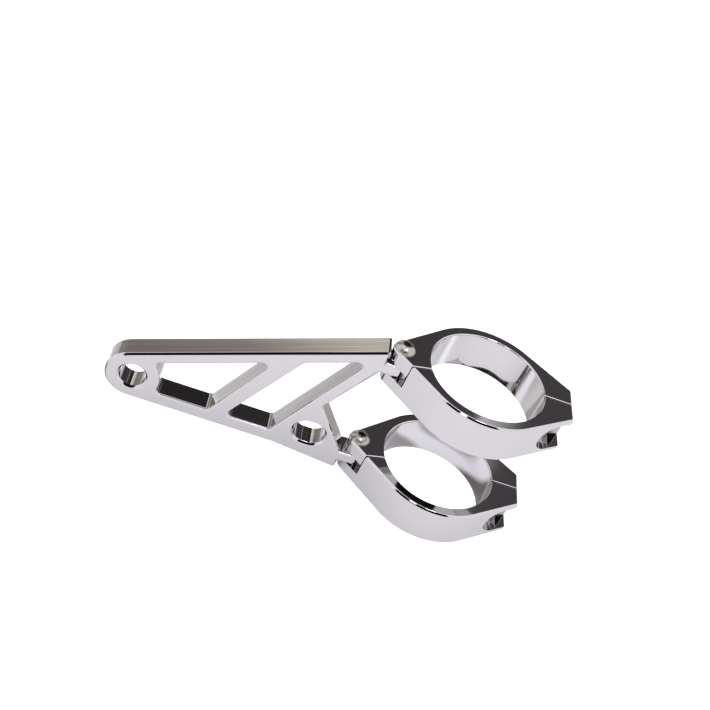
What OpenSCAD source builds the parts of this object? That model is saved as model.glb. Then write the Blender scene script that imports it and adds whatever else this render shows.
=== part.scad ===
// Headlight mounting bracket for one fork leg: a milled triangular arm with two hinged split clamps.
// +Z runs up the fork tube, the arm lies in the XZ plane and points to -X, and the origin is the
// centre of the lower clamp's bore.

/* [Fork clamps] */
// Diameter of the fork tube, and of both clamp bores
fork_d = 43; // [36:0.5:56]
// Height of a clamp along the tube
clamp_h = 15.2; // [13:0.1:24]
// Thickness of the ring round the bore
ring_wall = 3.8; // [3:0.1:5]
// Distance between the middles of the two clamps
clamp_pitch = 46; // [40:0.5:70]
// Distance that the screw ears reach past the bore
ear_len = 11.1; // [11:0.1:13]
// Width of the flat end of the two ears together
ear_w = 16; // [14:0.5:20]
// Gap between the two halves of a clamp where they meet
split_gap = 0.4; // [0.2:0.05:1]
// Bevel along the edges of the clamps
clamp_bevel = 0.5; // [0.2:0.05:0.8]

/* [Hinge] */
// Distance from the bore to the hinge axis
hinge_out = 9.7; // [9:0.1:13]
// Radius of the clamp's lugs round the hinge axis
lug_r = 4.1; // [3.6:0.1:5]
// Height of the back half's lug, on top
top_lug_h = 5.4; // [4:0.1:7]
// Height of the slot between the lugs
slot_h = 5; // [4:0.1:6]
// Clearance above and below the arm's tongue in the slot
tongue_play = 0.15; // [0.05:0.05:0.4]
// Half the angle, seen from the tube's axis, that the lugs take up
lug_half_angle = 16.4; // [13:0.2:20]

/* [Arm] */
// Thickness of the arm
arm_t = 9.4; // [7:0.2:12]
// Distance from the hinge axis to the arm's straight end
arm_end_gap = 5; // [4.6:0.1:7]
// Angle of the top rail to a line square to the tube, the steering rake
rake = 24; // [18:0.5:32]
// Distance from the hinge axis to the outer headlight hole
outer_hole_reach = 86; // [72:1:120]
// Distance from the hinge axis to the inner headlight hole
inner_hole_reach = 19.1; // [17:0.1:24]
// Height of both headlight holes above the lower clamp's middle
hole_z = 6.2; // [4:0.1:9]
// Diameter of the outer headlight hole, and width of the inner one
hole_d = 10; // [6:0.1:11]
// Length that the inner hole is drawn out by, to take up tolerance
slot_travel = 2; // [0.5:0.1:4]
// Radius of the round boss at the tip
boss_r = 10.1; // [9:0.1:13]
// Width of the top rail
rail_w = 4.7; // [3.5:0.1:7]
// Width of the bottom bar
bottom_w = 5; // [3.5:0.1:7]
// Width of the middle strut
strut_w = 6.3; // [4:0.1:8]
// Width of the brace that runs to the upper clamp
brace_w = 5; // [3.5:0.1:7]
// Width of the window between the strut and the brace
window_w = 13.8; // [9:0.1:16]
// Depth of the open notch between the two clamps, from the arm's straight end
notch_depth = 13.5; // [9:0.1:15]
// Corner radius of the windows
window_r = 1.6; // [1:0.1:2.5]
// Distance from the hinge axis to the bend in the bottom edge
bend_reach = 29.8; // [26:0.2:36]
// Distance that the heel reaches below the lower tongue
heel_drop = 4; // [2:0.1:6]
// Bevel along the arm's edges
arm_bevel = 0.6; // [0.2:0.05:1]
// Bevel round the headlight holes
hole_bevel = 0.85; // [0.3:0.05:1.2]

/* [Screws] */
// Thread diameter of the hinge screws and the clamp screws
screw_d = 4; // [3:0.5:4.5]
// Head diameter of the domed hinge screws
dome_d = 7.6; // [6.5:0.1:8]
// Head height of the domed hinge screws
dome_h = 2.2; // [1.6:0.1:2.6]
// Width across flats of the hinge screws' hexagon socket
dome_socket = 2.5; // [2:0.5:3]
// Head diameter of the clamp screws
cap_d = 7; // [5.5:0.1:7.6]
// Head height of the clamp screws
cap_h = 4; // [3:0.1:4.5]
// Width across flats of the clamp screws' hexagon socket
cap_socket = 3; // [2.5:0.5:4]
// Length of the clamp screws under the head
clamp_screw_len = 12; // [8:1:13]
// Height of the pocket that takes a clamp screw's head and runs out through the ears' flat end
pocket_h = 11; // [8:0.1:11.2]
// Distance from the ears' flat end to the clamp screw's axis
screw_inset = 5.2; // [4:0.1:5.4]
// Distance from the split to the seat of the clamp screw's head
seat_depth = 1.6; // [1.2:0.1:5]
// Clearance round a screw in a hole it passes through
screw_play = 0.2; // [0.1:0.05:0.5]
// Radial running clearance between a hinge screw and the arm
hinge_play = 0.05; // [0.02:0.01:0.1]

/* [Hidden] */
$fn = 96;

chrome = [0.86, 0.86, 0.89];
steel = [0.66, 0.65, 0.64];

// Radial clearance between a screw and the thread that holds it
thread_play = 0.02;
// Distance that cutting shapes run past what they cut
overrun = 2;
// Small bevel on the screws
fine_bevel = 0.4;
// Fillet on the outer corners, as a share of the bevel there
corner_share = 1.3;
// Distance that a plate's bevel runs on past its faces, as a share of the bevel
bevel_past_share = 0.2;
// Fillet where the bottom edge bends
bend_r = 14;
// Radius of the inner headlight hole's round ends, as a share of half its width
slot_round_share = 0.98;
// Radius of the tongues' rounded ends, as a share of half the arm's thickness
tongue_round_share = 1.02;
// Distance that the struts' edges lap onto the roots of the tongues
root_lap = 0.9;
// Height of the notch's inner corner, as a share of its opening
notch_height_share = 0.44;
// Depth of the hexagon sockets, as a share of the head's height
socket_depth_share = 0.6;
// Radius of the dome's top edge and height of its straight rim, as shares of the head
dome_top_share = 0.5;
dome_rim_share = 0.14;
// Angle between the points of a wide arc and of a small fillet, and the radius that parts the two
wide_step = 4;
fillet_step = 12;
wide_r = 8;

// Distance that a bevel runs on clear of the walls beyond it
bevel_relief = window_r / 2;
fork_r = fork_d / 2;
ring_r = fork_r + ring_wall;
hinge_x = -(fork_r + hinge_out);
end_x = hinge_x - arm_end_gap;
ear_x = fork_r + ear_len;
screw_x = ear_x - screw_inset;
screw_r = screw_d / 2;
hole_r = hole_d / 2;
bottom_lug_h = clamp_h - top_lug_h - slot_h;
slot_low = -clamp_h / 2 + bottom_lug_h;
slot_high = slot_low + slot_h;
outer_hole = [hinge_x - outer_hole_reach, hole_z];
inner_hole = [hinge_x - inner_hole_reach, hole_z];
bottom_z = hole_z - boss_r;
heel_z = slot_low - heel_drop;

// Direction of an angle in the plane of an outline
function way(a) = [cos(a), sin(a)];
// The direction turned a quarter to the left, which points into an outline drawn anticlockwise
function left(u) = [-u.y, u.x];
// Point where a line through p at angle a crosses a line through q at angle b
function cross_point(p, a, q, b) = p + way(a) * (left(way(b)) * (q - p)) / (left(way(b)) * way(a));

// The arc that rounds corner q between p and r, or the sharp corner, moved into the outline by inset
function corner_arc(p, q, r, radius, inset) =
    let (
        u = (q - p) / norm(q - p),
        v = (r - q) / norm(r - q),
        turn = atan2(u.x * v.y - u.y * v.x, u * v),
        bend = sign(turn) * radius,
        centre = q + bend * (left(u) + left(v)) / (1 + u * v),
        first = atan2(left(u).y, left(u).x),
        count = max(1, ceil(abs(turn) / (radius > wide_r ? wide_step : fillet_step)))
    )
    radius == 0 ?
        [q + inset * (left(u) + left(v)) / (1 + u * v)] :
        [for (i = [0 : count]) centre - (bend - inset) * way(first + turn * i / count)];

// All points of an outline given as corners of [x, y, radius], moved inwards by inset
function outline(corners, inset) =
    let (n = len(corners), at = function (i) [corners[i % n].x, corners[i % n].y])
    [for (i = [0 : n - 1]) each corner_arc(at(i + n - 1), at(i), at(i + 1), corners[i].z, inset)];

// Solid between rings of equal length, given as lists of 3-D points from low to high
module skin(rings) {
    n = len(rings[0]);
    top = (len(rings) - 1) * n;
    polyhedron(
        points = [for (ring = rings) each ring],
        faces = [
            [for (i = [0 : n - 1]) i],
            for (k = [0 : len(rings) - 2], i = [0 : n - 1])
                [k * n + i, (k + 1) * n + i, (k + 1) * n + (i + 1) % n, k * n + (i + 1) % n],
            [for (i = [n - 1 : -1 : 0]) top + i],
        ]
    );
}

// The outline as a ring of points at height z
function ring_at(corners, inset, z) = [for (p = outline(corners, inset)) [p.x, p.y, z]];

// Plate of thickness h with both faces' edges bevelled
module bevelled_plate(corners, h, bevel) {
    past = bevel_past_share * bevel;
    intersection() {
        linear_extrude(h) polygon(outline(corners, 0));
        skin([
            ring_at(corners, bevel + past, -past),
            ring_at(corners, -bevel_relief, bevel + bevel_relief),
            ring_at(corners, -bevel_relief, h - bevel - bevel_relief),
            ring_at(corners, bevel + past, h + past),
        ]);
    }
}

// Cutting shape for an opening through a plate of thickness h, with both edges bevelled
module bevelled_opening(corners, h, bevel) {
    translate([0, 0, -overrun])
        linear_extrude(h + 2 * overrun)
            polygon(outline(corners, 0));
    skin([
        ring_at(corners, -bevel - overrun, -overrun),
        ring_at(corners, bevel_relief, bevel + bevel_relief),
    ]);
    skin([
        ring_at(corners, bevel_relief, h - bevel - bevel_relief),
        ring_at(corners, -bevel - overrun, h + overrun),
    ]);
}

// Cutting shape for a round hole through a plate of thickness h, with both edges bevelled
module bevelled_bore(r, h, bevel) {
    translate([0, 0, -overrun])
        cylinder(r = r, h = h + 2 * overrun);
    for (turned = [0, 1])
        translate([0, 0, turned * h])
            mirror([0, 0, turned])
                translate([0, 0, -overrun])
                    cylinder(r1 = r + bevel + overrun, r2 = r, h = bevel + overrun);
}

// Lays a plate drawn in XY with its thickness along Z into the arm's upright plane
module upright()
    translate([0, arm_t / 2, 0])
        rotate([90, 0, 0])
            children();

// Heights of the tongues, from the underside to the top
low_tongue = [slot_low + tongue_play, slot_high - tongue_play];
high_tongue = [low_tongue[0] + clamp_pitch, low_tongue[1] + clamp_pitch];
tongue_r = tongue_round_share * arm_t / 2;
tongue_x = hinge_x + tongue_r + overrun;

// Corners of the arm's side view. The rail and the bottom edge are both tangent to the boss, and
// the notch's edges run into the tongues.
end_high = high_tongue[0] + root_lap;
end_low = low_tongue[1] - root_lap;
tip = outer_hole - boss_r * [1 / tan(rake / 2), 1];
rail_point = outer_hole + boss_r * way(90 + rake);
rail_end = cross_point(rail_point, rake, [end_x, 0], 90);
notch_point = [end_x - notch_depth, end_low + notch_height_share * (end_high - end_low)];
strut_angle = atan2(end_high - notch_point.y, notch_depth);
leg_angle = atan2(end_low - notch_point.y, notch_depth);
leg_root = cross_point(notch_point, leg_angle, [0, low_tongue[1]], 0);
brace_root = cross_point(notch_point, strut_angle, [0, high_tongue[0]], 0);
arm_corners = [
    [tip.x, tip.y, boss_r],
    [hinge_x - bend_reach, bottom_z, bend_r],
    [end_x, heel_z, corner_share * arm_bevel],
    [end_x, low_tongue[0], 0],
    [tongue_x, low_tongue[0], 0],
    [tongue_x, low_tongue[1], 0],
    [leg_root.x, leg_root.y, 0],
    [notch_point.x, notch_point.y, window_r],
    [brace_root.x, brace_root.y, 0],
    [tongue_x, high_tongue[0], 0],
    [tongue_x, high_tongue[1], 0],
    [end_x, high_tongue[1], 0],
    [rail_end.x, rail_end.y, corner_share * arm_bevel],
];

// Lines that bound the windows: inside the rail, above the bottom bar, and beside the struts
rail_line = rail_point - rail_w * way(90 + rake);
bottom_line = [tip.x, bottom_z + bottom_w];
strut_side = left(way(strut_angle));
brace_line = notch_point + brace_w * strut_side;
strut_right_line = brace_line + window_w * strut_side;
strut_left_line = strut_right_line + strut_w * strut_side;

function with_radius(p, r) = [p.x, p.y, r];
function window_corner(p, a, q, b) = with_radius(cross_point(p, a, q, b), window_r);

inner_window = [
    window_corner(bottom_line, 0, strut_right_line, strut_angle),
    window_corner(bottom_line, 0, brace_line, strut_angle),
    window_corner(rail_line, rake, brace_line, strut_angle),
    window_corner(rail_line, rake, strut_right_line, strut_angle),
];

// The outer window reaches into the boss, which then stands in it as its curved wall
outer_window = [
    window_corner(bottom_line, 0, outer_hole, 90),
    window_corner(bottom_line, 0, strut_left_line, strut_angle),
    window_corner(rail_line, rake, strut_left_line, strut_angle),
    window_corner(rail_line, rake, outer_hole, 90),
];

// The boss that stands in the outer window, with the bevel of the window's edges
module boss_core() {
    past = 2 * overrun;
    rotate_extrude()
        polygon([
            [0, -past],
            [boss_r - arm_bevel - past, -past],
            [boss_r, arm_bevel],
            [boss_r, arm_t - arm_bevel],
            [boss_r - arm_bevel - past, arm_t + past],
            [0, arm_t + past],
        ]);
}

module outer_window_cut()
    difference() {
        bevelled_opening(outer_window, arm_t, arm_bevel);
        translate(outer_hole) boss_core();
    }

// The inner headlight hole, drawn out to a short slot
slot_half_len = hole_r + slot_travel / 2;
inner_slot = [
    for (side = [[-1, -1], [1, -1], [1, 1], [-1, 1]])
        [
            inner_hole.x + side.x * slot_half_len,
            inner_hole.y + side.y * hole_r,
            slot_round_share * hole_r,
        ],
];

// Outline of a tongue's round end: its radius from the hinge axis at each height
tongue_core_r = tongue_r - arm_bevel;
function round_end(levels) = [
    [tongue_core_r, levels[0]],
    [tongue_r, levels[0] + arm_bevel],
    [tongue_r, levels[1] - arm_bevel],
    [tongue_core_r, levels[1]],
];

// Cutting shape that rounds both tongues' ends about the hinge axis, with their edges bevelled
module tongue_rounding() {
    below = low_tongue[0] - overrun;
    above = high_tongue[1] + overrun;
    translate([hinge_x, 0, 0])
        difference() {
            translate([0, -arm_t, below])
                cube([2 * arm_t, 2 * arm_t, above - below]);
            rotate_extrude()
                polygon([
                    [0, below - overrun],
                    [tongue_core_r, below - overrun],
                    each round_end(low_tongue),
                    each round_end(high_tongue),
                    [tongue_core_r, above + overrun],
                    [0, above + overrun],
                ]);
        }
}

module arm()
    color(chrome)
        difference() {
            upright() bevelled_plate(arm_corners, arm_t, arm_bevel);
            tongue_rounding();
            upright() {
                outer_window_cut();
                bevelled_opening(inner_window, arm_t, arm_bevel);
                translate(outer_hole) bevelled_bore(hole_r, arm_t, hole_bevel);
                bevelled_opening(inner_slot, arm_t, hole_bevel);
            }
            translate([hinge_x, 0, slot_low - overrun])
                cylinder(r = screw_r + hinge_play, h = clamp_pitch + slot_h + 2 * overrun);
        }

// Corners of a clamp's plan. Its sides are tangent to the ring and to the lugs, and run to the ears.
lug_slope = asin((ring_r - lug_r) / -hinge_x);
ear_corner = [ear_x, ear_w / 2];
ear_turn = atan2(ear_corner.y, ear_corner.x) + acos(ring_r / norm(ear_corner));
lug_tip = cross_point(ring_r * way(90 + lug_slope), lug_slope, [0, 0], 0);
back_corner = cross_point(ring_r * way(90 + lug_slope), lug_slope, ear_corner, ear_turn + 90);
clamp_corners = [
    [lug_tip.x, 0, lug_r],
    [back_corner.x, -back_corner.y, ring_r],
    [ear_x, -ear_w / 2, corner_share * clamp_bevel],
    [ear_x, ear_w / 2, corner_share * clamp_bevel],
    [back_corner.x, back_corner.y, ring_r],
];

// The clamp as one block, before it is split in two
module clamp_block()
    translate([0, 0, -clamp_h / 2])
        difference() {
            bevelled_plate(clamp_corners, clamp_h, clamp_bevel);
            bevelled_bore(fork_r, clamp_h, clamp_bevel);
        }

// The side of the split that a half keeps, in plan. The split leaves the tube's axis at angle a.
module kept_side(a) {
    far = ear_x + ring_r;
    gap = split_gap / 2;
    square_to_split = -left(way(a));
    polygon([
        [0, gap],
        [far, gap],
        [far, far],
        [-far, far],
        far * way(a) + gap * square_to_split,
        gap * square_to_split,
    ]);
}

// Half of a clamp, on the +Y side, with its lug between two heights
module clamp_half(lug_low, lug_high) {
    intersection() {
        clamp_block();
        union() {
            translate([0, 0, -clamp_h])
                linear_extrude(2 * clamp_h)
                    kept_side(180 - lug_half_angle);
            translate([0, 0, lug_low])
                linear_extrude(lug_high - lug_low)
                    kept_side(180 + lug_half_angle);
        }
    }
}

// Back half: carries the top lug and the thread of the clamp screw
module back_half()
    difference() {
        clamp_half(slot_high, clamp_h / 2 + overrun);
        translate([hinge_x, 0, -clamp_h])
            cylinder(r = screw_r + screw_play, h = 2 * clamp_h);
        translate([screw_x, 0, 0])
            rotate([-90, 0, 0])
                cylinder(r = screw_r + thread_play, h = ring_r);
    }

// Front half: carries the bottom lug, the thread of the hinge screw and the clamp screw's pocket
module front_half()
    difference() {
        mirror([0, 1, 0]) clamp_half(-clamp_h / 2 - overrun, slot_low);
        translate([hinge_x, 0, -clamp_h])
            cylinder(r = screw_r + thread_play, h = 2 * clamp_h);
        translate([screw_x, 0, 0])
            rotate([90, 0, 0]) {
                cylinder(r = screw_r + screw_play, h = ring_r);
                translate([0, 0, seat_depth]) {
                    cylinder(d = pocket_h, h = ring_r);
                    translate([0, -pocket_h / 2, 0])
                        cube([ring_r, pocket_h, ring_r]);
                }
            }
    }

// Cutting shape for a hexagon socket in a head of height head_h that stands on Z = 0
module socket_cut(flats, head_h)
    translate([0, 0, head_h * (1 - socket_depth_share)])
        cylinder(d = flats / cos(30), h = head_h, $fn = 6);

// Screw with a domed head on top, pointing down
module hinge_screw(len) {
    rim_h = dome_h * dome_rim_share;
    top_r = dome_top_share * dome_d / 2;
    rise = dome_h - rim_h;
    below = ((dome_d / 2) ^ 2 - top_r ^ 2 - rise ^ 2) / (2 * rise);
    difference() {
        union() {
            intersection() {
                cylinder(d = dome_d, h = dome_h);
                translate([0, 0, rim_h - below])
                    sphere(r = norm([dome_d / 2, below]));
            }
            translate([0, 0, -len])
                cylinder(r = screw_r, h = len + rim_h);
        }
        socket_cut(dome_socket, dome_h);
    }
}

// Screw with a cylindrical head on top, pointing down
module cap_screw(len)
    difference() {
        union() {
            cylinder(d = cap_d, h = cap_h - fine_bevel);
            translate([0, 0, cap_h - fine_bevel])
                cylinder(r1 = cap_d / 2, r2 = cap_d / 2 - fine_bevel, h = fine_bevel);
            translate([0, 0, -len])
                cylinder(r = screw_r, h = len + fine_bevel);
        }
        socket_cut(cap_socket, cap_h);
    }

// Places of the fasteners in a clamp
module placed_hinge_screw()
    color(steel)
        translate([hinge_x, 0, clamp_h / 2])
            hinge_screw(clamp_h - fine_bevel);

module placed_clamp_screw()
    color(steel)
        translate([screw_x, -seat_depth, 0])
            rotate([90, 0, 0])
                cap_screw(clamp_screw_len);

module at_upper() translate([0, 0, clamp_pitch]) children();

module lower_clamp_back_half() color(chrome) back_half();
module lower_clamp_front_half() color(chrome) front_half();
module lower_hinge_screw() placed_hinge_screw();
module lower_clamp_screw() placed_clamp_screw();
module upper_clamp_back_half() color(chrome) at_upper() back_half();
module upper_clamp_front_half() color(chrome) at_upper() front_half();
module upper_hinge_screw() at_upper() placed_hinge_screw();
module upper_clamp_screw() at_upper() placed_clamp_screw();

arm();
lower_clamp_back_half();
lower_clamp_front_half();
lower_hinge_screw();
lower_clamp_screw();
upper_clamp_back_half();
upper_clamp_front_half();
upper_hinge_screw();
upper_clamp_screw();
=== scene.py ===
"""Headlight bracket: the chrome arm, its two hinged fork clamps and their screws, on a pale studio floor."""

import math

import bmesh
import bpy
from mathutils import Matrix, Vector


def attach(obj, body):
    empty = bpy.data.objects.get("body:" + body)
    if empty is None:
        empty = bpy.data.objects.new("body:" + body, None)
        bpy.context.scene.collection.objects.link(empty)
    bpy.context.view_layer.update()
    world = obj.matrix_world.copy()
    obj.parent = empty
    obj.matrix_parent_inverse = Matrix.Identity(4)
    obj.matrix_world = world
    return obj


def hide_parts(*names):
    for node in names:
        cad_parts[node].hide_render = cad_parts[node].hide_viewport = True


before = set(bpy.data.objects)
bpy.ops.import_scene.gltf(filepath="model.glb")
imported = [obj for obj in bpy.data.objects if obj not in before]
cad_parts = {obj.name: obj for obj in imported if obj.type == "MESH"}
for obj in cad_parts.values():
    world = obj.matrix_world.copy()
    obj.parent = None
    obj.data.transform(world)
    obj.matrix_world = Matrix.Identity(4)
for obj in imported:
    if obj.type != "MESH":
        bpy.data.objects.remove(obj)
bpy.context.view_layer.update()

MM = 0.001

# Sizes of the bracket, in millimetres, as in the part's source. A comment says where they differ from it.
TUBE_R = 21.5
RING_R = 25.7  # 0.4 more than the solid's
CLAMP_H = 15.2
PITCH = 46.0
HINGE_X = -31.2
END_X = -36.2
EAR_X = 32.6
EAR_Y = 8.0
LUG_R = 4.1
LUG_ANGLE = 16.4
SPLIT = 0.4
SLOT_LOW = -2.8
SLOT_HIGH = 2.2
TONGUE_LOW = -2.65
TONGUE_HIGH = 2.05
ARM_T = 9.4
RAKE = 24.0
BOSS_R = 10.1
OUTER_HOLE = (-117.2, 6.2)
INNER_HOLE = (-50.3, 6.2)
HOLE_R = 5.0
SLOT_TRAVEL = 2
SCREW_X = 27.4
SEAT = 1.6
POCKET_R = 5.5
RAIL_W = 4.7
RAIL_END_X = END_X + 0.5  # the rail runs 0.5 further than the solid's
BAR_W = 5.8  # 0.8 more than the solid's
BRACE_W = 5.0
STRUT_W = 6.3
WINDOW_W = 13.8
WINDOW_R = 1.6
WALL_LEAN = 1.3  # extra angle of the windows' right walls, in degrees
NOTCH_IN = 13.5
NOTCH_SHARE = 0.44
HEEL_X = HINGE_X - 29.8
HEEL_R = 14
HEEL_DROP = 4
TONGUE_INSET = 0.9
TONGUE_EXTRA = 2
SHARP_R = 1.0
EAR_R = 0.9
SCREW_R = 2.0
THREAD_HOLE_R = 2.02
TONGUE_HOLE_R = 2.05
CLEAR_HOLE_R = 2.2
HOLE_BEVEL = 0.8
RIM_BEVEL = 0.82
RING_BEVEL = 0.68
BORE_BEVEL = 0.35
SPLIT_BEVEL = 0.3
OVERRUN = 2

# Facets of the round tools.
FINE_ROUND = 240
ROUND = 144
SMALL_ROUND = 72
BROAD_R = 8
BROAD_FACET = 1.5  # degrees of turn in each facet of a corner wider than BROAD_R
TIGHT_FACET = 6


# ---------------------------------------------------------------- modelling steps


def pick(obj):
    """Makes one object the only selected one."""
    if bpy.context.mode != "OBJECT":
        bpy.ops.object.mode_set(mode="OBJECT")
    bpy.ops.object.select_all(action="DESELECT")
    obj.select_set(True)
    bpy.context.view_layer.objects.active = obj


def edit(obj, kind="EDGE"):
    """Opens an object in edit mode with nothing selected, and returns its mesh."""
    pick(obj)
    bpy.ops.object.mode_set(mode="EDIT")
    bpy.ops.mesh.select_mode(type=kind)
    bpy.ops.mesh.select_all(action="DESELECT")
    return bmesh.from_edit_mesh(obj.data)


def done(obj):
    bmesh.update_edit_mesh(obj.data)
    bpy.ops.object.mode_set(mode="OBJECT")


def direction(degrees):
    return Vector((math.cos(math.radians(degrees)), math.sin(math.radians(degrees))))


def crossing(p, a, q, b):
    """Where a line through p at angle a meets a line through q at angle b."""
    p, q = Vector(p), Vector(q)
    u, w = direction(a), direction(b + 90)
    return p + u * (w.dot(q - p) / w.dot(u))


def drawn_plate(name, corners, low, high):
    """A plate drawn as by hand: straight runs are extruded and corners (x, y, radius) are spun."""
    bpy.ops.object.select_all(action="DESELECT")
    bpy.ops.mesh.primitive_plane_add(size=MM)
    obj = bpy.context.active_object
    obj.name = name
    edit(obj, "VERT")
    bpy.ops.mesh.select_all(action="SELECT")
    bpy.ops.mesh.merge(type="CENTER")
    pen = None
    for index, (x, y, radius) in enumerate(corners):
        corner = Vector((x, y))
        after = corners[(index + 1) % len(corners)]
        arriving = (corner - Vector(corners[index - 1][:2])).normalized()
        leaving = (Vector(after[:2]) - corner).normalized()
        turn = -arriving.angle_signed(leaving)
        reach = radius * math.tan(abs(turn) / 2)
        start = corner - arriving * reach
        if pen is None:
            bpy.ops.transform.translate(value=Vector((*start, low)) * MM)
        else:
            step = Vector((*(start - pen), 0)) * MM
            bpy.ops.mesh.extrude_vertices_move(TRANSFORM_OT_translate={"value": step})
        if radius:
            facet = BROAD_FACET if radius > BROAD_R else TIGHT_FACET
            side = math.copysign(radius, turn)
            centre = start + Vector((-arriving.y, arriving.x)) * side
            bpy.ops.mesh.spin(
                steps=max(3, round(math.degrees(abs(turn)) / facet)),
                angle=-turn,
                center=Vector((*centre, low)) * MM,
                axis=(0, 0, 1),
            )
        pen = corner + leaving * reach
    bpy.ops.mesh.select_all(action="DESELECT")
    bm = bmesh.from_edit_mesh(obj.data)
    for vertex in bm.verts:
        vertex.select_set(len(vertex.link_edges) == 1)
    bpy.ops.mesh.edge_face_add()
    bpy.ops.mesh.select_all(action="SELECT")
    bpy.ops.mesh.edge_face_add()
    rise = (0, 0, (high - low) * MM)
    bpy.ops.mesh.extrude_region_move(TRANSFORM_OT_translate={"value": rise})
    bpy.ops.mesh.select_all(action="SELECT")
    bpy.ops.mesh.normals_make_consistent(inside=False)
    done(obj)
    return obj


def cylinder(centre, radius, length, axis="Z", vertices=ROUND):
    turned = {"X": (0, math.pi / 2, 0), "Y": (math.pi / 2, 0, 0), "Z": (0, 0, 0)}[axis]
    bpy.ops.object.select_all(action="DESELECT")
    bpy.ops.mesh.primitive_cylinder_add(
        vertices=vertices,
        radius=radius * MM,
        depth=length * MM,
        location=Vector(centre) * MM,
        rotation=turned,
    )
    return bpy.context.active_object


def block(low, high):
    bpy.ops.object.select_all(action="DESELECT")
    low, high = Vector(low) * MM, Vector(high) * MM
    bpy.ops.mesh.primitive_cube_add(size=1, location=(low + high) / 2, scale=high - low)
    return bpy.context.active_object


def combine(obj, tool, how="DIFFERENCE"):
    """Cuts, joins or intersects with a second object, which is then used up."""
    step = obj.modifiers.new("shape", "BOOLEAN")
    step.operation = how
    step.solver = "EXACT"
    step.object = tool
    pick(obj)
    bpy.ops.object.modifier_apply(modifier=step.name)
    bpy.data.objects.remove(tool)


def bevel_where(obj, width, wanted, segments=1):
    """Bevels the edges for which wanted(edge) is true."""
    bm = edit(obj)
    for e in bm.edges:
        if len(e.link_faces) == 2 and wanted(e):
            e.select_set(True)
    bpy.ops.mesh.bevel(
        offset=width * MM, segments=segments, profile=0.5, affect="EDGES", clamp_overlap=False
    )
    done(obj)


def fold(e):
    """Angle between the two faces at an edge, in degrees."""
    return math.degrees(e.calc_face_angle(0))


def at_level(e, axis, level):
    """Whether an edge lies in the plane at this level of an axis."""
    return all(abs(v.co[axis] - level * MM) < 2e-6 for v in e.verts)


def middle_of(e):
    return (e.verts[0].co + e.verts[1].co) / 2


def connected_rims(obj, wanted):
    """Of the edges for which wanted(edge) is true, those that run on from the leftmost one on each side."""
    bm = edit(obj)
    bm.edges.index_update()
    rims = [e for e in bm.edges if len(e.link_faces) == 2 and wanted(e)]
    found = set()
    for side in (-1, 1):
        facing = [e for e in rims if e.verts[0].co.y * side > 0]
        waiting = [min(facing, key=lambda e: e.verts[0].co.x)]
        while waiting:
            e = waiting.pop()
            if e.index not in found:
                found.add(e.index)
                waiting += [other for other in facing if set(other.verts) & set(e.verts)]
    done(obj)
    return found


def break_edges(obj, width=0.13):
    """Rolls the longer crisp edges over a little, as polishing and plating do."""
    bevel_where(obj, width, lambda e: fold(e) > 38 and e.calc_length() > 0.25 * MM, 2)


def weld(obj):
    """Merges doubled points, dissolves leftovers of the cuts and points the faces outwards."""
    edit(obj, "VERT")
    bpy.ops.mesh.select_all(action="SELECT")
    bpy.ops.mesh.remove_doubles(threshold=1e-6)
    bpy.ops.mesh.dissolve_limited(angle_limit=math.radians(0.05))
    bpy.ops.mesh.select_all(action="SELECT")
    bpy.ops.mesh.normals_make_consistent(inside=False)
    done(obj)


def finish_surface(obj, angle=30, large=6):
    """Smooth shading that keeps flats, over 6 square millimetres, flat; the place is held in the mesh."""
    pick(obj)
    bpy.ops.object.transform_apply(location=True, rotation=True, scale=True)
    bpy.ops.object.shade_smooth_by_angle(angle=math.radians(angle))
    bm = edit(obj)
    for e in bm.edges:
        beside_flat = any(f.calc_area() > large * MM**2 for f in e.link_faces)
        if len(e.link_faces) == 2 and fold(e) > 5 and beside_flat:
            e.smooth = False
    done(obj)
    step = obj.modifiers.new("flats", "WEIGHTED_NORMAL")
    step.keep_sharp = True
    step.weight = 60
    bpy.ops.object.modifier_apply(modifier=step.name)


def copy_up(obj, name):
    """A copy with its own mesh, one clamp further up the tube."""
    twin = obj.copy()
    twin.data = obj.data.copy()
    twin.name = name
    bpy.context.collection.objects.link(twin)
    pick(twin)
    bpy.ops.transform.translate(value=(0, 0, PITCH * MM))
    bpy.ops.object.transform_apply(location=True, rotation=True, scale=True)
    return twin


# ---------------------------------------------------------------- the arm


def stand_up(obj):
    """Turns a plan drawn in XY into the arm's upright plane, thickness centred on Y = 0."""
    pick(obj)
    obj.rotation_euler.x = math.pi / 2
    bpy.ops.object.transform_apply(location=False, rotation=True, scale=False)


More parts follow.
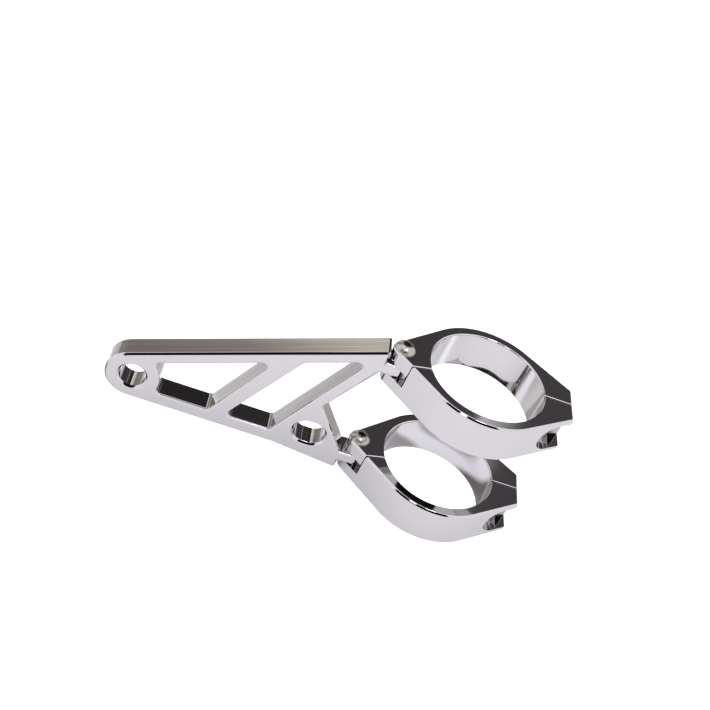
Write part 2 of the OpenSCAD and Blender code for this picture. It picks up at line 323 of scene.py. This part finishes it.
def arm_shapes():
    """Plan of the arm and of its windows, in its upright plane."""
    centre = Vector(OUTER_HOLE)
    rail = centre + direction(90 + RAKE) * BOSS_R
    rail_end = crossing(rail, RAKE, (RAIL_END_X, 0), 90)
    tip = centre - Vector((1 / math.tan(math.radians(RAKE / 2)), 1)) * BOSS_R
    low, high = TONGUE_HIGH - TONGUE_INSET, TONGUE_LOW + PITCH + TONGUE_INSET
    notch = Vector((END_X - NOTCH_IN, low + NOTCH_SHARE * (high - low)))
    strut = math.degrees(math.atan2(high - notch.y, NOTCH_IN))
    leg = math.degrees(math.atan2(low - notch.y, NOTCH_IN))
    leg_root = crossing(notch, leg, (0, TONGUE_HIGH), 0)
    brace_root = crossing(notch, strut, (0, TONGUE_LOW + PITCH), 0)
    tongue = HINGE_X + ARM_T / 2 + TONGUE_EXTRA
    outline = [
        (tip.x, tip.y, BOSS_R),
        (HEEL_X, OUTER_HOLE[1] - BOSS_R, HEEL_R),
        (END_X, SLOT_LOW - HEEL_DROP, SHARP_R),
        (END_X, TONGUE_LOW, 0),
        (tongue, TONGUE_LOW, 0),
        (tongue, TONGUE_HIGH, 0),
        (leg_root.x, leg_root.y, 0),
        (notch.x, notch.y, WINDOW_R),
        (brace_root.x, brace_root.y, 0),
        (tongue, TONGUE_LOW + PITCH, 0),
        (tongue, TONGUE_HIGH + PITCH, 0),
        (RAIL_END_X, TONGUE_HIGH + PITCH, 0),
        (rail_end.x, rail_end.y, SHARP_R),
    ]
    inside_rail = rail - direction(90 + RAKE) * RAIL_W
    floor = Vector((0, OUTER_HOLE[1] - BOSS_R + BAR_W))
    aside = direction(strut + 90)
    brace = notch + aside * BRACE_W
    right = brace + aside * WINDOW_W
    left = right + aside * STRUT_W

    def corner(p, a, q, b, r=WINDOW_R):
        return (*crossing(p, a, q, b), r)

    wall = strut + WALL_LEAN
    brace_top = crossing(inside_rail, RAKE, brace, strut)
    left_top = crossing(inside_rail, RAKE, left, strut)
    inner = [
        corner(floor, 0, right, strut),
        corner(floor, 0, brace_top, wall),
        corner(inside_rail, RAKE, brace_top, wall),
        corner(inside_rail, RAKE, right, strut),
    ]
    reach = BOSS_R + WINDOW_R
    drop = OUTER_HOLE[1] - floor.y - WINDOW_R
    rise = BOSS_R - RAIL_W - WINDOW_R
    low_turn = -math.degrees(math.asin(drop / reach))
    high_turn = RAKE + math.degrees(math.asin(rise / reach))
    low_touch = centre + direction(low_turn) * BOSS_R
    high_touch = centre + direction(high_turn) * BOSS_R
    # The arcs that touch at the boss are drawn a hair tight, so that their ends don't cross.
    fillet, boss = WINDOW_R - 0.02, BOSS_R * 0.998
    outer = [
        corner(floor, 0, low_touch, low_turn + 90, fillet),
        corner(floor, 0, left_top, wall),
        corner(inside_rail, RAKE, left_top, wall),
        corner(inside_rail, RAKE, high_touch, high_turn + 90, fillet),
        corner(low_touch, low_turn + 90, high_touch, high_turn + 90, boss),
    ]
    return outline, inner, outer


def slot_corners():
    """Plan of the inner headlight hole, drawn out sideways."""
    reach = HOLE_R + SLOT_TRAVEL / 2
    signs = ((-1, -1), (1, -1), (1, 1), (-1, 1))
    return [(INNER_HOLE[0] + sx * reach, INNER_HOLE[1] + sy * HOLE_R, HOLE_R * 0.995) for sx, sy in signs]


def round_tongues(arm):
    """Rounds the ends of both tongues about the hinge and bores them."""
    middle = (HINGE_X, 0, 25)
    length = 80
    cut = block((HINGE_X, -10, -10), (HINGE_X + 20, 10, 60))
    combine(cut, cylinder(middle, 1.02 * ARM_T / 2, length, vertices=180))
    combine(arm, cut)
    combine(arm, cylinder(middle, TONGUE_HOLE_R, length, vertices=SMALL_ROUND))


def make_arm(flats, edges):
    """The plate with its windows, holes and tongues; flats and edges are the finishes of its faces."""
    outline, inner, outer = arm_shapes()
    half = ARM_T / 2
    arm = drawn_plate("arm_plate", outline, -half, half)
    combine(arm, drawn_plate("window", inner, -half - OVERRUN, half + OVERRUN))
    combine(arm, drawn_plate("window", outer, -half - OVERRUN, half + OVERRUN))
    combine(arm, cylinder((*OUTER_HOLE, 0), HOLE_R, ARM_T + 2 * OVERRUN))
    combine(arm, drawn_plate("slot", slot_corners(), -half - OVERRUN, half + OVERRUN))
    stand_up(arm)
    round_tongues(arm)
    weld(arm)

    def on_face(e):
        return at_level(e, 1, half) or at_level(e, 1, -half)

    def at_rim(e):
        return on_face(e) and fold(e) > 60

    def at_hole(e):
        place = middle_of(e).xz
        outer_gap = (place - Vector(OUTER_HOLE) * MM).length
        inner_gap = (place - Vector(INNER_HOLE) * MM).length
        return on_face(e) and (outer_gap < (HOLE_R + 0.2) * MM or inner_gap < (HOLE_R + 1.3) * MM)

    bevel_where(arm, HOLE_BEVEL, at_hole)
    outline_rims = connected_rims(arm, at_rim)
    bevel_where(arm, RIM_BEVEL, lambda e: e.index in outline_rims)
    bevel_where(arm, RIM_BEVEL, at_rim, segments=2)
    break_edges(arm)
    arm.data.materials.append(flats)
    arm.data.materials.append(edges)
    for face in arm.data.polygons:
        face.material_index = int(abs(face.normal.y) < 0.2)
    finish_surface(arm)
    return arm


# ---------------------------------------------------------------- the clamps


def clamp_corners():
    """Plan of a clamp: lug, ring and ears in one smooth outline."""
    slope = math.degrees(math.asin((RING_R - LUG_R) / -HINGE_X))
    reach = math.hypot(EAR_X, EAR_Y)
    turn = math.degrees(math.atan2(EAR_Y, EAR_X) + math.acos(RING_R / reach))
    tangent = direction(90 + slope) * RING_R
    apex = crossing(tangent, slope, (0, 0), 0)
    back = crossing(tangent, slope, (EAR_X, EAR_Y), turn + 90)
    return [
        (apex.x, 0, LUG_R),
        (back.x, -back.y, RING_R),
        (EAR_X, -EAR_Y, EAR_R),
        (EAR_X, EAR_Y, EAR_R),
        (back.x, back.y, RING_R),
    ]


def ring_block(name):
    """The clamp before it is split, with its rims bevelled."""
    ring = drawn_plate(name, clamp_corners(), -CLAMP_H / 2, CLAMP_H / 2)
    combine(ring, cylinder((0, 0, 0), TUBE_R, CLAMP_H + 3 * OVERRUN, vertices=FINE_ROUND))
    weld(ring)

    def at_rim(e):
        return (at_level(e, 2, CLAMP_H / 2) or at_level(e, 2, -CLAMP_H / 2)) and fold(e) > 60

    def at_bore(e):
        return all(v.co.xy.length < (TUBE_R + 0.05) * MM for v in e.verts)

    def outside(e):
        return all(v.co.xy.length > (TUBE_R + 1) * MM for v in e.verts)

    bevel_where(ring, BORE_BEVEL, lambda e: at_rim(e) and at_bore(e))
    bevel_where(ring, RING_BEVEL, lambda e: at_rim(e) and outside(e))
    return ring


def split_halves(obj, side):
    """Cuts one half out of the ring: flat through the ears, and slanted either side of the slot at the lug.

    side is 1 for the half that keeps the top lug and -1 for the one that keeps the bottom lug.
    """
    gap = SPLIT / 2
    far = 60

    def plan(angle, inner_x):
        along = direction(angle)
        across = Vector((along.y, -along.x)) * gap
        outer = along * far + across
        corners = [(*across, 0), (*outer, 0), (-far, -far, 0), (inner_x, -far, 0)]
        if inner_x > 0:
            corners += [(inner_x, gap, 0), (0, gap, 0)]
        if side > 0:
            return corners
        return [(x, -y, r) for x, y, r in reversed(corners)]

    beyond = 20
    combine(obj, drawn_plate("split", plan(180 + LUG_ANGLE, far), -beyond, beyond))
    low, high = (-beyond, SLOT_HIGH) if side > 0 else (SLOT_LOW, beyond)
    combine(obj, drawn_plate("split", plan(180 - LUG_ANGLE, -2), low, high))


def round_split(obj, side):
    """Rounds the rim of the split faces, at the ears and at the lug."""

    def on_split(e):
        middle = middle_of(e)
        if middle.x > 0:
            return all(abs(v.co.y - side * SPLIT / 2 * MM) < 5e-6 for v in e.verts)
        for angle in (180 - LUG_ANGLE, 180 + LUG_ANGLE):
            along = direction(side * angle)
            away = Vector((along.y, -along.x)) * side
            if all(abs(v.co.xy.dot(away) - SPLIT / 2 * MM) < 5e-6 for v in e.verts):
                return True
        return False

    bevel_where(obj, SPLIT_BEVEL, lambda e: fold(e) > 40 and e.calc_length() > 0.2 * MM and on_split(e), 3)


def finish_half(half, side):
    """What both halves get after their cuts: rounded split rims, rolled edges and shading."""
    weld(half)
    round_split(half, side)
    break_edges(half)
    finish_surface(half)
    return half


def make_back_half():
    half = ring_block("lower_back_half")
    split_halves(half, 1)
    combine(half, cylinder((HINGE_X, 0, 0), CLEAR_HOLE_R, 40, vertices=SMALL_ROUND))
    combine(half, cylinder((SCREW_X, 15, 0), THREAD_HOLE_R, 40, "Y", vertices=SMALL_ROUND))
    return finish_half(half, 1)


def make_front_half():
    half = ring_block("lower_front_half")
    split_halves(half, -1)
    combine(half, cylinder((HINGE_X, 0, 0), THREAD_HOLE_R, 40, vertices=SMALL_ROUND))
    combine(half, cylinder((SCREW_X, -10, 0), CLEAR_HOLE_R, 30, "Y", vertices=SMALL_ROUND))
    depth = 30
    pocket = cylinder((SCREW_X, -SEAT - depth / 2, 0), POCKET_R, depth, "Y", vertices=120)
    combine(pocket, block((SCREW_X, -SEAT - depth, -POCKET_R), (50, -SEAT, POCKET_R)), "UNION")
    combine(half, pocket)
    return finish_half(half, -1)


# ---------------------------------------------------------------- the screws


def hex_socket(obj, across, top, depth):
    """A hexagon socket in a head that faces up."""
    length = 10
    combine(obj, cylinder((0, 0, top + length / 2 - depth), across / math.sqrt(3), length, vertices=6))


def darken_socket(obj, across, bottom, socket_shade):
    """Gives the socket's walls and floor the painted shade: they face the axis or lie on its bottom."""
    obj.data.materials.append(socket_shade)
    radius = 1.02 * across / math.sqrt(3) * MM
    for face in obj.data.polygons:
        inside = all(obj.data.vertices[i].co.xy.length < radius for i in face.vertices)
        is_wall = face.normal.xy.dot(face.center.xy) < -1e-5
        is_floor = face.center.z < (bottom + 0.05) * MM
        if inside and face.center.z > (bottom - 0.05) * MM and (is_wall or is_floor):
            face.material_index = 1


def make_hinge_screw(finish, socket_shade):
    """Domed head with a turned rim, on a threaded shank."""
    head_r, head_h, flat_r, across, depth = 3.8, 2.2, 1.6, 2.5, 1.4
    rim = 0.14 * head_h
    rise = head_h - rim
    below = (head_r**2 - flat_r**2 - rise**2) / (2 * rise)
    dome_r = math.hypot(head_r, below)
    bpy.ops.object.select_all(action="DESELECT")
    bpy.ops.mesh.primitive_circle_add(vertices=ROUND, radius=head_r * MM, fill_type="NGON")
    screw = bpy.context.active_object
    screw.name = "lower_hinge_screw_head"
    edit(screw, "FACE")
    bpy.ops.mesh.select_all(action="SELECT")
    bpy.ops.mesh.extrude_region_move(TRANSFORM_OT_translate={"value": (0, 0, rim * MM)})
    steps = 14
    start = math.asin(head_r / dome_r)
    end = math.asin(flat_r / dome_r)
    last_r, last_z = head_r, rim
    for k in range(1, steps + 1):
        a = start + (end - start) * k / steps
        r, z = dome_r * math.sin(a), dome_r * math.cos(a) - below + rim
        bpy.ops.mesh.extrude_region_move(TRANSFORM_OT_translate={"value": (0, 0, (z - last_z) * MM)})
        bpy.ops.transform.resize(value=(r / last_r, r / last_r, 1))
        last_r, last_z = r, z
    done(screw)
    hex_socket(screw, across, head_h, depth)
    combine(screw, cylinder((0, 0, -7.3), SCREW_R, 14.8, vertices=SMALL_ROUND), "UNION")
    weld(screw)
    bevel_where(screw, 0.1, lambda e: fold(e) > 50, segments=2)
    screw.data.materials.append(finish)
    darken_socket(screw, across, head_h - depth, socket_shade)
    screw.location = Vector((HINGE_X, 0, CLAMP_H / 2)) * MM
    finish_surface(screw)
    return screw


def make_clamp_screw(finish, socket_shade):
    """Cylindrical head with a chamfered rim, lying along Y in its pocket."""
    head_r, head_h, across, depth = 3.5, 4, 3.0, 2.4
    screw = cylinder((0, 0, head_h / 2), head_r, head_h)
    screw.name = "lower_clamp_screw_head"
    pick(screw)
    bpy.ops.object.transform_apply(location=True, rotation=True, scale=True)
    hex_socket(screw, across, head_h, depth)
    combine(screw, cylinder((0, 0, -5.9), SCREW_R, 12.2, vertices=SMALL_ROUND), "UNION")
    weld(screw)
    bevel_where(screw, 0.25, lambda e: fold(e) > 50, segments=2)
    screw.data.materials.append(finish)
    darken_socket(screw, across, head_h - depth, socket_shade)
    screw.location = Vector((SCREW_X, -SEAT, 0)) * MM
    screw.rotation_euler.x = math.pi / 2
    finish_surface(screw)
    return screw


# ---------------------------------------------------------------- finishes


def node(tree, kind, **inputs):
    made = tree.nodes.new(kind)
    for key, value in inputs.items():
        made.inputs[key.replace("_", " ")].default_value = value
    return made


def maths(tree, operation, first, second):
    """A sum of two values, each a number or the output of another node."""
    made = tree.nodes.new("ShaderNodeMath")
    made.operation = operation
    for socket, value in zip(made.inputs, (first, second)):
        if isinstance(value, float):
            socket.default_value = value
        else:
            tree.links.new(value, socket)
    return made.outputs["Value"]


def scaled(tree, value, start, end, low=0.0, high=1.0, soft=False):
    """Scales a value so that start becomes low and end becomes high, held beyond them."""
    made = node(tree, "ShaderNodeMapRange", From_Min=start, From_Max=end, To_Min=low, To_Max=high)
    if soft:
        made.interpolation_type = "SMOOTHSTEP"
    tree.links.new(value, made.inputs["Value"])
    return made.outputs["Result"]


def colours_along(tree, value, start, end, stops):
    """Colours that blend along a value from start to end, given as (value, colour) stops."""
    ramp = tree.nodes.new("ShaderNodeValToRGB")
    tree.links.new(scaled(tree, value, start, end), ramp.inputs["Fac"])
    while len(ramp.color_ramp.elements) < len(stops):
        ramp.color_ramp.elements.new(0.5)
    for element, (at, colour) in zip(ramp.color_ramp.elements, stops):
        element.position = (at - start) / (end - start)
        element.color = (*colour, 1)
    return ramp.outputs["Color"]


def laid_over(tree, below, colour, *masks):
    """Lays a colour over what is below it, where all the masks let it show."""
    mask = masks[0]
    for other in masks[1:]:
        mask = maths(tree, "MULTIPLY", mask, other)
    made = tree.nodes.new("ShaderNodeMix")
    made.data_type = "RGBA"
    tree.links.new(mask, made.inputs["Factor"])
    for socket, value in zip([i for i in made.inputs if i.type == "RGBA"], (below, colour)):
        if isinstance(value, tuple):
            socket.default_value = (*value, 1)
        else:
            tree.links.new(value, socket)
    return [o for o in made.outputs if o.type == "RGBA"][0]


def new_material(name):
    """A material with its nodes, and where each point of the object lies."""
    mat = bpy.data.materials.new(name)
    mat.use_nodes = True
    tree = mat.node_tree
    place = tree.nodes.new("ShaderNodeTexCoord").outputs["Object"]
    return mat, tree, tree.nodes["Principled BSDF"], place


def noise(tree, place, **settings):
    made = node(tree, "ShaderNodeTexNoise", **settings)
    tree.links.new(place, made.inputs["Vector"])
    return made.outputs["Fac"]


def bumped(tree, shader, height, strength, distance):
    bump = node(tree, "ShaderNodeBump", Strength=strength, Distance=distance)
    tree.links.new(height, bump.inputs["Height"])
    tree.links.new(bump.outputs["Normal"], shader.inputs["Normal"])


def tinted(tree, shader, value, dark, pale):
    """Lets the base colour run from dark to pale with a value; each is (position, colour)."""
    tint = tree.nodes.new("ShaderNodeValToRGB")
    for element, (position, colour) in zip(tint.color_ramp.elements, (dark, pale)):
        element.position = position
        element.color = (*colour, 1)
    tree.links.new(value, tint.inputs["Fac"])
    tree.links.new(tint.outputs["Color"], shader.inputs["Base Color"])


def mirror_chrome(name, lines=False):
    """Chrome plate with a faint ripple and a haze of wiping marks; with lines, faint milling marks too."""
    mat, tree, shader, place = new_material(name)
    shader.inputs["Base Color"].default_value = (0.56, 0.548, 0.568, 1)
    shader.inputs["Metallic"].default_value = 1.0
    haze = noise(tree, place, Scale=60.0, Detail=4.0, Roughness=0.6)
    tree.links.new(scaled(tree, haze, 0.35, 0.7, 0.035, 0.07), shader.inputs["Roughness"])
    bumped(tree, shader, noise(tree, place, Scale=45.0, Detail=2.0), 0.05, 0.001)
    if lines:
        drawn_out = node(tree, "ShaderNodeMapping", Scale=(14, 950, 14))
        tree.links.new(place, drawn_out.inputs["Vector"])
        milling = noise(tree, drawn_out.outputs["Vector"], Scale=1.0, Detail=3.0, Roughness=0.65)
        tinted(tree, shader, milling, (0.30, (0.46, 0.447, 0.45)), (0.70, (0.66, 0.65, 0.672)))
    return mat


def satin_steel():
    """Turned steel of the screws, with a fine grain."""
    mat, tree, shader, place = new_material("satin_screw_steel")
    shader.inputs["Base Color"].default_value = (0.43, 0.408, 0.388, 1)
    shader.inputs["Metallic"].default_value = 1.0
    grain = noise(tree, place, Scale=900.0, Detail=3.0)
    tree.links.new(scaled(tree, grain, 0.3, 0.7, 0.22, 0.31), shader.inputs["Roughness"])
    bumped(tree, shader, grain, 0.08, 0.0002)
    return mat


def painted_shade_socket():
    """The inside of a screw's socket, painted dark to stand for the shade in the recess, mottled by a noise.
    """
    mat, tree, shader, place = new_material("painted_shade_socket")
    shader.inputs["Metallic"].default_value = 0.6
    shader.inputs["Roughness"].default_value = 0.3
    mottle = noise(tree, place, Scale=1500.0, Detail=3.0)
    tinted(tree, shader, mottle, (0.0, (0.03, 0.027, 0.024)), (1.0, (0.14, 0.13, 0.12)))
    return mat


def wear(obj, mat, body, slot, *cad_nodes):
    """Gives a piece its finish, where it has none, and hangs it on its body in place of its CAD solids."""
    if not obj.data.materials:
        obj.data.materials.append(mat)
    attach(obj, body)
    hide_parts(*cad_nodes)


# ---------------------------------------------------------------- camera, floor and light

# Heights of the floor and of the paper that only reflections show, in metres.
FLOOR_Z = -0.11
PAPER_Z = -0.0085


def make_camera():
    """The camera, by its axes and by where, in millimetres, it sees the middle of the upper clamp's top."""
    right = Vector((0.9371, 0.0858, 0.3383))
    up = Vector((-0.3151, 0.6250, 0.7142))
    back = Vector((-0.1502, -0.7759, 0.6127))
    offset = Vector((46.6858, -7.6238, -416.1548))
    place = -(right * offset.x + up * offset.y + back * offset.z)
    place.z += PITCH + CLAMP_H / 2
    data = bpy.data.cameras.new("camera")
    data.sensor_width = 36
    data.lens = 60.31
    data.clip_start = 0.01
    data.clip_end = 50
    camera = bpy.data.objects.new("camera", data)
    bpy.context.collection.objects.link(camera)
    turned = Matrix((right, up, back)).transposed().to_4x4()
    camera.matrix_world = Matrix.Translation(place * MM) @ turned
    bpy.context.scene.camera = camera


def painted_paper_shadows(tree, place, x, y):
    """Painted shadow on the paper: inside the lower bore, under the arm and the ring, and behind the arm,
    where the bracket would shade it.
    """

    def fall(value, start, end, depth=1.0):
        return scaled(tree, value, start, end, high=depth, soft=True)

    def both(first, second):
        return maths(tree, "MULTIPLY", first, second)

    def either(first, second):
        return maths(tree, "MAXIMUM", first, second)

    centred = node(tree, "ShaderNodeMapping", Scale=(40, 40, 0))
    tree.links.new(place, centred.inputs["Vector"])
    spread = tree.nodes.new("ShaderNodeTexGradient")
    spread.gradient_type = "SPHERICAL"
    tree.links.new(centred.outputs["Vector"], spread.inputs["Vector"])
    inwards = spread.outputs["Fac"]

    # Painted shadow of the rings, seen through the lower bore, with a noise wobbling its edges.
    waves = maths(tree, "SUBTRACT", noise(tree, place, Scale=60.0, Detail=0.5), 0.5)
    across = maths(tree, "ADD", x, both(waves, 0.012))
    dip = either(fall(across, -0.001, -0.006, 0.7), fall(across, 0.0105, 0.0150, 0.95))
    dip = either(dip, fall(y, 0.0130, 0.0100, 0.5))
    in_bore = both(dip, fall(inwards, 0.06, 0.24))
    # Painted contact shadows under the arm and the ring, and painted shade behind the leg and the arm.
    off_arm = maths(tree, "ABSOLUTE", y, 0.0)
    under_arm = both(fall(off_arm, 0.0075, 0.0040, 0.75), fall(x, -0.034, -0.042))
    under_ring = both(fall(inwards, 0.20, 0.15, 0.75), fall(inwards, 0.01, 0.03))
    off_leg = maths(tree, "ABSOLUTE", maths(tree, "ADD", x, 0.010), 0.0)
    behind_leg = both(fall(y, 0.024, 0.030, 0.62), fall(off_leg, 0.024, 0.015))
    behind_arm = both(fall(y, 0.024, 0.034, 0.25), fall(x, -0.045, -0.065))
    shade = either(in_bore, either(under_arm, under_ring))
    return either(shade, either(behind_leg, behind_arm))


def glowing_paper():
    """Paper under the bracket, seen only in its mirror faces: it glows with painted light, even in front and
    greyer further back, with painted shadows laid over it.
    """
    mat, tree, shader, place = new_material("paper")
    shader.inputs["Roughness"].default_value = 0.9
    shader.inputs["Specular IOR Level"].default_value = 0.0
    shader.inputs["Emission Strength"].default_value = 1.0
    axes = tree.nodes.new("ShaderNodeSeparateXYZ")
    tree.links.new(place, axes.inputs["Vector"])
    # Painted light: the emission colour along Y, with a bright band just behind the bore and greyer further
    # back.
    glow = colours_along(tree, axes.outputs["Y"], -0.10, 0.30, (
        (-0.090, (0.58, 0.55, 0.575)),
        (-0.050, (0.57, 0.545, 0.565)),
        (-0.012, (0.48, 0.47, 0.49)),
        (0.002, (0.50, 0.49, 0.51)),
        (0.012, (0.86, 0.85, 0.92)),
        (0.020, (0.86, 0.85, 0.92)),
        (0.030, (0.32, 0.31, 0.31)),
        (0.200, (0.12, 0.11, 0.10)),
    ))
    shade = painted_paper_shadows(tree, place, axes.outputs["X"], axes.outputs["Y"])
    # Painted shadow: where the shade masks reach, the glow drops to a dark brown-grey and the base colour
    # darkens.
    glow = laid_over(tree, glow, (0.08, 0.07, 0.06), shade)
    tree.links.new(glow, shader.inputs["Emission Color"])
    lit = laid_over(tree, (0.42, 0.42, 0.42), (0.15, 0.14, 0.125), shade)
    tree.links.new(lit, shader.inputs["Base Color"])
    return mat


def only_reflected(card):
    """Keeps a sheet out of the picture and of the room's light, so that only the mirror faces show it."""
    card.visible_camera = False
    card.visible_shadow = False
    card.visible_diffuse = False


def make_sheet(name, size, height, mat):
    """A wide flat sheet for the bracket to stand over."""
    bpy.ops.object.select_all(action="DESELECT")
    bpy.ops.mesh.primitive_plane_add(size=size, location=(0, 0, height))
    sheet = bpy.context.active_object
    sheet.name = name
    sheet.data.materials.append(mat)
    return sheet


def make_floor():
    mat = bpy.data.materials.new("pale_floor")
    mat.use_nodes = True
    shader = mat.node_tree.nodes["Principled BSDF"]
    shader.inputs["Base Color"].default_value = (0.95, 0.95, 0.955, 1)
    shader.inputs["Roughness"].default_value = 0.9
    shader.inputs["Specular IOR Level"].default_value = 0.1
    make_sheet("floor", 12, FLOOR_Z, mat)
    # The paper glows with painted light and carries painted shadows; only reflections show it.
    only_reflected(make_sheet("paper", 8, PAPER_Z, glowing_paper()))


def make_lamp(name, energy, spread):
    """A lamp so far off that its light comes from one side, spread over an angle in degrees."""
    data = bpy.data.lights.new(name, "SUN")
    data.energy = energy
    data.angle = math.radians(spread)
    lamp = bpy.data.objects.new(name, data)
    bpy.context.collection.objects.link(lamp)
    return lamp


def make_lamps():
    """Even soft light from a wide bank overhead, kept out of the mirror finish, and a small softbox."""
    overhead = make_lamp("overhead", 1.75, 100)
    overhead.location = (0, 0, 1)
    overhead.visible_glossy = False
    softbox = make_lamp("small_softbox", 0.5, 11)
    towards = Vector((0.15, -0.40, 0.90))
    softbox.location = towards
    softbox.rotation_euler = towards.to_track_quat("Z", "Y").to_euler()


def make_studio():
    """The room round the bracket: dark drapes behind, beige ones to their left, a dark front, pale sides.

    Each wall is placed by its bearing, in degrees from the back, and by its height, from 0 at the
    horizon to 1 overhead. The camera itself sees plain white.
    """
    world = bpy.data.worlds.new("studio")
    bpy.context.scene.world = world
    world.use_nodes = True
    tree = world.node_tree
    place = tree.nodes.new("ShaderNodeTexCoord")
    axes = tree.nodes.new("ShaderNodeSeparateXYZ")
    tree.links.new(place.outputs["Generated"], axes.inputs["Vector"])
    height = axes.outputs["Z"]
    turn = maths(tree, "ARCTAN2", axes.outputs["X"], axes.outputs["Y"])
    bearing = maths(tree, "MULTIPLY", turn, math.degrees(1))

    def edge(value, start, end):
        return scaled(tree, value, start, end, soft=True)

    def between(value, low, high, blur):
        rising = edge(value, low - blur, low + blur)
        return maths(tree, "MULTIPLY", rising, edge(value, high + blur, high - blur))

    drapes = colours_along(tree, bearing, -60.0, 60.0, (
        (-48.0, (1.0, 0.97, 0.95)),
        (-44.0, (0.40, 0.37, 0.33)),
        (-34.0, (0.29, 0.255, 0.24)),
        (-29.0, (0.38, 0.34, 0.31)),
        (-24.0, (0.80, 0.73, 0.63)),
        (-12.0, (1.05, 1.00, 0.90)),
        (-9.0, (1.05, 1.00, 0.90)),
        (-7.5, (0.020, 0.018, 0.018)),
        (5.0, (0.036, 0.032, 0.034)),
        (14.0, (0.074, 0.066, 0.070)),
        (24.0, (0.085, 0.077, 0.082)),
        (42.0, (0.060, 0.054, 0.058)),
        (52.0, (0.9, 0.9, 0.9)),
    ))
    pale = (1.2, 1.2, 1.22)
    off_back = maths(tree, "ABSOLUTE", bearing, 0.0)
    slit = maths(tree, "MULTIPLY", edge(bearing, 19.38, 19.50), edge(bearing, 22.2, 19.0))
    layers = (
        (drapes, between(bearing, -50.0, 50.0, 2.0), edge(height, 0.90, 0.80)),
        ((0.012, 0.011, 0.012), edge(off_back, 119.0, 123.0), between(height, 0.49, 0.88, 0.04)),
        (pale, between(bearing, 100.0, 140.0, 3.0)),
        ((2.2, 2.2, 2.3), between(bearing, -164.0, -150.0, 1.0), between(height, 0.725, 0.95, 0.01)),
        ((0.92, 0.90, 0.92), slit, between(height, 0.59, 0.70, 0.004)),
        ((1.9, 1.9, 1.9), edge(height, 0.88, 0.95)),
        ((0.62, 0.61, 0.63), edge(height, 0.965, 0.98)),
        ((1.0, 1.0, 1.0), tree.nodes.new("ShaderNodeLightPath").outputs["Is Camera Ray"]),
    )
    sky = pale
    for colour, *masks in layers:
        sky = laid_over(tree, sky, colour, *masks)
    tree.links.new(sky, tree.nodes["Background"].inputs["Color"])


# ---------------------------------------------------------------- assembly

chrome = mirror_chrome("polished_chrome")
lined = mirror_chrome("polished_edges", lines=True)
steel = satin_steel()
# The screws' sockets get a painted shade: a dark material standing in for the shade in the recess.
socket_shade = painted_shade_socket()

wear(make_arm(chrome, lined), chrome, "arm", "mirror_chrome", "arm")
parts = (
    (make_back_half(), "upper_back_half", chrome, "mirror_chrome", "clamp_back_half"),
    (make_front_half(), "upper_front_half", chrome, "mirror_chrome", "clamp_front_half"),
    (make_hinge_screw(steel, socket_shade), "upper_hinge_screw_head", steel, "screw_steel", "hinge_screw"),
    (make_clamp_screw(steel, socket_shade), "upper_clamp_screw_head", steel, "screw_steel", "clamp_screw"),
)
for piece, upper_name, finish, slot, cad_node in parts:
    upper = copy_up(piece, upper_name)
    wear(piece, finish, "lower_clamp", slot, "lower_" + cad_node)
    wear(upper, finish, "upper_clamp", slot, "upper_" + cad_node)

make_camera()
make_floor()
make_lamps()
make_studio()
bpy.context.scene.view_settings.view_transform = "Standard"
